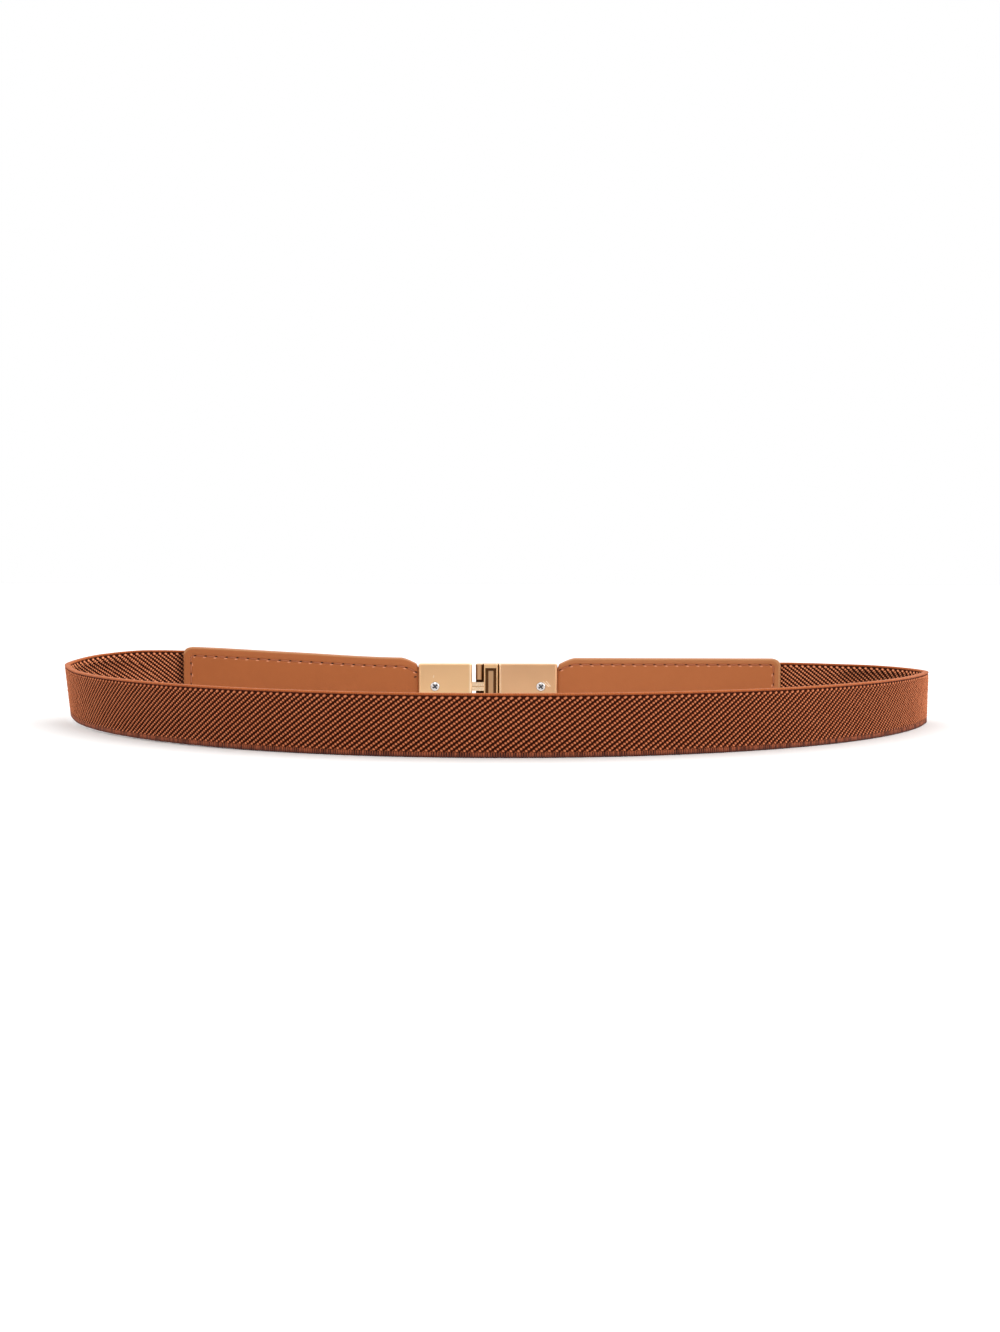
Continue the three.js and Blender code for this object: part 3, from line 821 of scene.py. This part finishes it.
def leatherFinish(name, tones, inset, extraHole):
    # Fine pebbled grain, a lighter rolled margin with a tan edge, painted shade along the sewing groove, and
    # at each needle hole of the sewing line a slanting pit painted dark as shade, with a painted highlight on
    # a lifted lip below it
    finish = newFinish(name)
    sewing, (arc, across, none) = finish.coordinates("sewing")
    drawing, (reach, up, none) = finish.coordinates("tab")
    object, axes = finish.coordinates()
    nearHole = arc / stitch["pitch"]
    along = (nearHole.math("FRACT", nearHole + 0.5) - 0.5) * stitch["pitch"]

    def pitAt(aside, above):
        long = (aside + above * leather["holeSlant"]) / leather["holeLong"]
        short = above / leather["holeShort"]
        return finish.step(lengthOf(long, short), *hide["pitEdge"])

    pit = pitAt(along, across)
    pit = pit.math("MAXIMUM", pit, pitAt(reach - extraHole[0], up - extraHole[1]))
    lipAlong, lipAcross = hide["lipShift"]
    lip = pitAt((along - lipAlong) * 0.8, across + lipAcross)
    groove = finish.step(across.math("ABSOLUTE", across), *hide["grooveShadeEdge"])
    onFace = finish.step(across, 30, 20)
    margin = finish.step(across, *hide["marginEdge"]) * onFace
    edge = finish.step(across, inset - 0.75, inset - 0.3) * onFace
    patch = finish.noise(object, hide["patchScale"])
    fine = finish.noise(object, hide["fineScale"])
    grain = finish.node("ShaderNodeTexVoronoi", {"feature": "SMOOTH_F1"}, {
        "Vector": object, "Scale": hide["grainScale"]})
    colour = finish.mix(margin, tones["face"], tones["margin"])
    shade = (patch - 0.5) * hide["patch"] + (fine - 0.5) * hide["fine"] + 0.2
    colour = finish.mix(shade, colour, tones["dark"])
    masks = {"edge": edge, "groove": groove, "lip": lip, "pit": pit}
    # Painted light: the groove and the needle-hole pits take dark tones as shade, and the lip below each hole
    # a pale tone as a highlight
    for key, share in hide["shares"].items():
        colour = finish.mix(masks[key] * share, colour, tones[key])
    return finish.shade({
        "Base Color": colour,
        "Roughness": 0.5 + fine * 0.12 + groove * 0.1,
        "Specular IOR Level": 0.3,
    }, grain * 0.03 - pit * 0.35 + lip * 0.08 + patch * 0.05)


def threadFinish():
    # Twisted sewing thread
    finish = newFinish("sewing_thread")
    object, axes = finish.coordinates()
    twist = finish.noise(object, 3500)
    colour = finish.mix(twist, (0.26, 0.068, 0.024, 1), (0.44, 0.135, 0.050, 1))
    return finish.shade({"Base Color": colour, "Roughness": 0.55}, twist * 0.06)


# Of these tones, groove and pit are painted shade and lip a painted highlight
shared = {
    "groove": (0.24, 0.055, 0.020, 1), "pit": (0.02, 0.004, 0.002, 1), "lip": (0.68, 0.27, 0.14, 1),
    "edge": (0.45, 0.22, 0.09, 1)}
# The right tab's tones are a lighter, lit copy of the same leather as the left tab's, for the stronger light
# on the right
litRightLeather = leatherFinish("right_leather_lit", shared | {
    "face": (0.398, 0.117, 0.031, 1), "margin": (0.41, 0.148, 0.049, 1), "dark": (0.300, 0.082, 0.021, 1),
    "pit": (0.10, 0.022, 0.008, 1)},
    tabs["right"]["inset"], (-99, 0))
shadedLeftLeather = leatherFinish("left_leather_shaded", shared | {
    "face": (0.365, 0.102, 0.024, 1), "margin": (0.375, 0.112, 0.030, 1), "dark": (0.273, 0.071, 0.016, 1)},
    tabs["left"]["inset"], (1.35, 3.9))
thread = threadFinish()
for side, tab, toRun, material in (
        ("right", tabs["right"], rightRun, litRightLeather), ("left", tabs["left"], leftRun, shadedLeftLeather)):
    for layer, direction in (("outer", 1), ("inner", -1)):
        piece = tabLayer(f"leather_{side}_{layer}", tab, toRun, direction, material)
        place(piece, "leather", f"tab_{side}_{layer}")
    place(stitchRow(f"stitches_{side}", tab, toRun, thread), "leather")
print("leather: four layers and their stitches")


# Clasp and screws

clasp = {
    "bevel": 0.16,
    "bevelSegments": 3,
    "flatAngle": 1.5,  # degrees between faces that are joined into one
    "edgeAngle": 32,  # degrees of an edge that is rounded
    "shadeStart": 1.1,  # from the inner face to where the painted shade of the hook's recesses begins
    "shadeEnd": 2.3,
    "outerShade": (0.5, 1.1),  # from the outer face, from none to full
    "innerReach": 1.6,  # how deep the marks and the painted highlights of the inner side go
    "stem": (-1.5, 3.5),  # along the clasp from the hook's lips
    "stemHalf": 1.8,
    "creaseShade": (0.3, 0.08),  # up or down from the stem's middle, from none to full
    "endHighlightWidth": 1.3,  # width of the painted highlight on the round ends, along the clasp
    "plateGap": 0.4,  # from the post to the right plate
    "pocket": (4.0, 8.7),  # of the post, along the clasp from the hook's lips
    "soft": 0.1,  # half the width of a tinted place's border
    "scratch": (0.26, 0.06),  # from a mark's middle, from none to full
    "brushScale": (2600, 2600, 160),
    "cloudScale": 90,
    "tints": {  # how much of each colour, in the order that they are laid on
        "paintedHighlight": (0.85, (1.0, 0.83, 0.58, 1)),
        "creaseShade": (0.5, (0.36, 0.22, 0.11, 1)),
        "scratch": (0.7, (1.0, 0.84, 0.66, 1)),
        "pocket": (0.45, (0.50, 0.27, 0.15, 1)),
        "shadedRecess": (0.92, (0.10, 0.036, 0.010, 1)),
    },
}
screw = {
    "head": 1.82,
    "headHeight": 0.8,
    "shank": 0.85,
    "chamfer": 0.42,
    "chamferDrop": 0.22,
    "armHalf": 0.3,
    "armReach": 1.2,
    "recess": 0.5,
    "turn": 38,  # degrees of the cross about the screw's own line
    "rings": 26,
    "around": 72,
}


def softenedCopy(name, node, material):
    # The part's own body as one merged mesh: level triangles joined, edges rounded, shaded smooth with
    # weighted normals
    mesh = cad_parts[node].data.copy()
    mesh.name = name
    body = bmesh.new()
    body.from_mesh(mesh)
    bmesh.ops.remove_doubles(body, verts=body.verts, dist=2e-6)
    bmesh.ops.dissolve_limit(
        body, angle_limit=math.radians(clasp["flatAngle"]), verts=body.verts, edges=body.edges)
    body.to_mesh(mesh)
    body.free()
    mesh.materials.clear()
    mesh.materials.append(material)
    mesh.shade_smooth()
    piece = bpy.data.objects.new(name, mesh)
    bpy.context.scene.collection.objects.link(piece)
    bevel = piece.modifiers.new("rounded_edges", "BEVEL")
    bevel.width = clasp["bevel"] / metre
    bevel.segments = clasp["bevelSegments"]
    bevel.limit_method = "ANGLE"
    bevel.angle_limit = math.radians(clasp["edgeAngle"])
    level = piece.modifiers.new("level_faces", "WEIGHTED_NORMAL")
    level.weight = 100
    level.keep_sharp = True
    return piece


def screwPiece(name, node, material):
    # A polar grid: the head's face with a cross recess cut by how far a point lies in either arm, its
    # chamfer, its side, and the shank down to the tip
    low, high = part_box(node)
    middleX, middleZ = (low.x + high.x) / 2 * metre, (low.z + high.z) / 2 * metre
    top, tip = low.y * metre, high.y * metre
    flat = screw["head"] - screw["chamfer"]
    radius = np.concatenate([
        np.linspace(0.04, flat, screw["rings"]), [screw["head"] - 0.03, screw["head"], screw["head"]],
        [screw["shank"], screw["shank"], 0.04]])[:, None]
    drop = np.concatenate([
        np.zeros(screw["rings"]), [screw["chamferDrop"], screw["chamferDrop"] + 0.04, screw["headHeight"]],
        [screw["headHeight"], tip - top, tip - top]])[:, None]
    angle = np.arange(screw["around"]) * 2 * math.pi / screw["around"] + math.radians(screw["turn"])
    x, z = radius * np.cos(angle), radius * np.sin(angle)
    turned = angle - math.radians(screw["turn"])
    armX, armZ = np.abs(radius * np.cos(turned)), np.abs(radius * np.sin(turned))
    narrow = smoothStep(np.minimum(armX, armZ), screw["armHalf"] + 0.08, screw["armHalf"] - 0.08)
    short = smoothStep(np.maximum(armX, armZ), screw["armReach"], screw["armReach"] - 0.12)
    recess = narrow * short * (drop < 0.001) * screw["recess"]
    y = top + drop + recess
    points = np.stack([middleX + x, y + 0 * x, middleZ + z], -1)
    count = points.shape[0]
    ring = points.transpose(1, 0, 2).reshape(-1, 3) / metre
    depth = (recess + 0 * x).T.ravel()
    faces = tubeFaces(screw["around"], count)
    return makePiece(name, ring, faces, material, attributes={"recess": depth})


def distanceToLine(finish, x, z, start, end):
    # Millimetres from a spot to a short straight mark, both in the clasp face's plane
    run, rise = end[0] - start[0], end[1] - start[1]
    length = math.hypot(run, rise)
    run, rise = run / length, rise / length
    alongX, alongZ = x - start[0], z - start[1]
    along = alongX * run + alongZ * rise
    along = along.math("MINIMUM", along.math("MAXIMUM", along, 0), length)
    offX, offZ = alongX - along * run, alongZ - along * rise
    return lengthOf(offX, offZ)


def goldFinish(name, tone, marks):
    # Satin plating: fine upright brushing, faint clouding, painted shade in the recesses between the hook's
    # parts, and the marks that a screwdriver left
    finish = newFinish(name)
    object, (x, y, z) = finish.coordinates()
    x, y, z = x * metre, y * metre, z * metre
    stretched = finish.node("ShaderNodeMapping", inputs={0: object, "Scale": clasp["brushScale"]})
    brushing = finish.noise(stretched, 1.0, 3.0)
    cloud = finish.noise(object, clasp["cloudScale"])
    depth = y - claspLow.y * metre
    height = z - (claspLow.z + claspHigh.z) / 2 * metre
    aside = height.math("ABSOLUTE", height)
    halfHeight = (claspHigh.z - claspLow.z) / 2 * metre
    lips, plate = hookLow.x * metre, claspHigh.x * metre + clasp["plateGap"]
    outerNone, outerFull = (loop["claspFace"] * 2 - reach for reach in clasp["outerShade"])
    # Painted shade darkens the recesses between the hook's parts
    shadedRecess = finish.step(depth, clasp["shadeStart"], clasp["shadeEnd"])
    shadedRecess = shadedRecess * finish.step(depth, outerNone, outerFull) * finish.between(x, lips, plate, 0.05)
    shadedRecess = shadedRecess * finish.step(aside, halfHeight - 0.1, halfHeight - 0.4)
    # On the inner side the stem and the plates' round ends get a painted highlight, the stem's crease painted
    # shade
    stemStart, stemEnd = (lips + end for end in clasp["stem"])
    inner = finish.step(depth, clasp["innerReach"], clasp["innerReach"] - 0.4)
    onStem = inner * finish.between(x, stemStart, stemEnd, clasp["soft"])
    onStem = onStem * finish.step(aside, clasp["stemHalf"], clasp["stemHalf"] - 0.15)
    creaseShade = onStem * finish.step(aside, *clasp["creaseShade"])
    ends = largest([
        finish.step(x, end - 0.1, end + 0.2) * finish.step(x, end + clasp["endHighlightWidth"], end + 0.6)
        for end in (stemStart - clasp["endHighlightWidth"], plate)])
    paintedHighlight = largest([ends * inner * 0.6, onStem - creaseShade])
    distances = [distanceToLine(finish, x, z, start, end) for start, end in marks]
    scratch = largest([finish.step(distance, *clasp["scratch"]) * inner for distance in distances])
    colour = finish.mix(cloud, tone, tuple(0.9 * part for part in tone[:3]) + (1,))
    # Painted shade on the post's recessed face between the plates
    pocketStart, pocketEnd = (lips + end for end in clasp["pocket"])
    pocket = finish.between(x, pocketStart, pocketEnd, clasp["soft"]) * finish.step(depth, 0.5, 0.9)
    masks = {"paintedHighlight": paintedHighlight, "creaseShade": creaseShade, "scratch": scratch, "pocket": pocket, "shadedRecess": shadedRecess}
    for key, (share, tint) in clasp["tints"].items():
        colour = finish.mix(masks[key] * share, colour, tint)
    return finish.shade({
        "Base Color": colour,
        "Metallic": 1.0,
        "Roughness": 0.30 + brushing * 0.12 + scratch * 0.15 + shadedRecess * 0.2 - paintedHighlight * 0.08,
    }, brushing * 0.012 - scratch * 0.04)


def steelFinish():
    # Bright steel, dark in the recess of the cross: partly blackened steel, partly painted shade
    finish = newFinish("screw_steel")
    object, axes = finish.coordinates()
    shadedRecess = finish.step(finish.attribute("recess"), 0.02, 0.3)
    worn = finish.noise(object, 1800)
    colour = finish.mix(shadedRecess, (0.78, 0.77, 0.76, 1), (0.10, 0.105, 0.12, 1))
    return finish.shade({
        "Base Color": colour, "Metallic": 1.0, "Roughness": 0.22 + worn * 0.12}, worn * 0.02)


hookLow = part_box("clasp_right_half")[0]
screwPlaces = {}
for side in ("left", "right"):
    low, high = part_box(f"screw_{side}")
    screwPlaces[side] = ((low.x + high.x) / 2 * metre, (low.z + high.z) / 2 * metre)
marks = {"left": [((-0.5, 4.6), (-0.6, 3.8))], "right": [((1.2, 2.0), (3.4, 0.1)), ((2.4, 2.3), (4.0, 0.3))]}
steel = steelFinish()
# The left half's lighter tone is a painted reflection: both halves are one plating
for side, tone in (("left", (0.93, 0.62, 0.335, 1)), ("right", (0.83, 0.515, 0.285, 1))):
    x, z = screwPlaces[side]
    scratches = [((x + a[0], z + a[1]), (x + b[0], z + b[1])) for a, b in marks[side]]
    gold = goldFinish(f"{side}_satin_gold", tone, scratches)
    half = f"clasp_{side}_half"
    place(softenedCopy(f"clasp_{side}", half, gold), "clasp_metal", half)
    place(screwPiece(f"screw_{side}_cross_head", f"screw_{side}", steel), "screw_steel", f"screw_{side}")
print("clasp: two halves and two screws")


# Floor, light and camera

studio = {
    "floorHalf": 30,  # metres
    "floor": (0.80, 0.795, 0.79, 1),
    "backdrop": 1.0,  # what the camera sees past the floor
    "ambient": (1.0, 0.99, 0.985, 1),
    "ambientBehind": 0.95,
    "ambientFront": 0.42,  # light from the camera's side
    "frontToBack": (-0.8, 0.3),  # of a direction's y, over which one turns into the other
    "ambientSides": 2.3,  # added towards either end of the belt
    "ambientRight": 0.8,  # more of it at the right end, less at the left
    "suns": {
        "key": {"strength": 0.7, "angle": 45, "tilt": -32},  # degrees from overhead, from behind the belt
        "front": {"strength": 0.75, "angle": 25, "tilt": 48},
    },
}
view = {
    "focal": 1400,  # pixels
    "imageHeight": 1332,
    "place": (1.3, -517.98, 55.5),
    "pitch": math.degrees(math.atan2(83, 1400)),  # down
    "roll": 0.125,
}


def floorPiece():
    finish = newFinish("pale_floor")
    object, axes = finish.coordinates()
    speck = finish.noise(object, 30)
    tint = finish.mix(speck, studio["floor"], tuple(0.985 * part for part in studio["floor"][:3]) + (1,))
    material = finish.shade({"Base Color": tint, "Roughness": 0.9, "Specular IOR Level": 0.1})
    half = studio["floorHalf"]
    mesh = bpy.data.meshes.new("floor")
    corners = [(-half, -half, 0), (half, -half, 0), (half, half, 0), (-half, half, 0)]
    mesh.from_pydata(corners, [], [(0, 1, 2, 3)])
    mesh.materials.append(material)
    floor = bpy.data.objects.new("floor", mesh)
    bpy.context.scene.collection.objects.link(floor)
    floor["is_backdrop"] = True


def lights():
    # A soft surround, dimmer on the camera's side and brighter at the sides, and two wide suns
    world = bpy.data.worlds.new("studio")
    finish = Finish(world)
    around = finish.node("ShaderNodeTexCoord")
    sideways, forward = finish.part(around, 0), finish.part(around, 1)
    seen = finish.node("ShaderNodeLightPath")
    bright, dim = studio["ambientBehind"], studio["ambientFront"]
    light = finish.step(forward, *studio["frontToBack"]) * (bright - dim) + dim
    light = light + sideways * sideways * (sideways * studio["ambientRight"] + studio["ambientSides"])
    strength = seen * studio["backdrop"] + (1 - seen) * light
    colour = finish.mix(seen, studio["ambient"], (1, 1, 1, 1))
    surround = finish.node("ShaderNodeBackground", inputs={"Color": colour, "Strength": strength})
    finish.node("ShaderNodeOutputWorld", inputs={"Surface": surround})
    bpy.context.scene.world = world
    for name, values in studio["suns"].items():
        sun = bpy.data.lights.new(name, "SUN")
        sun.energy = values["strength"]
        sun.angle = math.radians(values["angle"])
        lamp = bpy.data.objects.new(name, sun)
        lamp.rotation_euler = (math.radians(values["tilt"]), 0, 0)
        bpy.context.scene.collection.objects.link(lamp)


def camera():
    lens = bpy.data.cameras.new("camera")
    lens.lens = view["focal"] / view["imageHeight"] * lens.sensor_width
    lens.clip_start, lens.clip_end = 0.01, 100
    seen = bpy.data.objects.new("camera", lens)
    turn = Matrix.Rotation(math.radians(90 - view["pitch"]), 4, "X") @ Matrix.Rotation(
        math.radians(view["roll"]), 4, "Z")
    seen.matrix_world = Matrix.Translation([part / metre for part in view["place"]]) @ turn
    bpy.context.scene.collection.objects.link(seen)
    bpy.context.scene.camera = seen


floorPiece()
lights()
camera()
bpy.context.scene.view_settings.view_transform = "Standard"
print("studio: floor, lights and camera")

low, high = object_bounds()
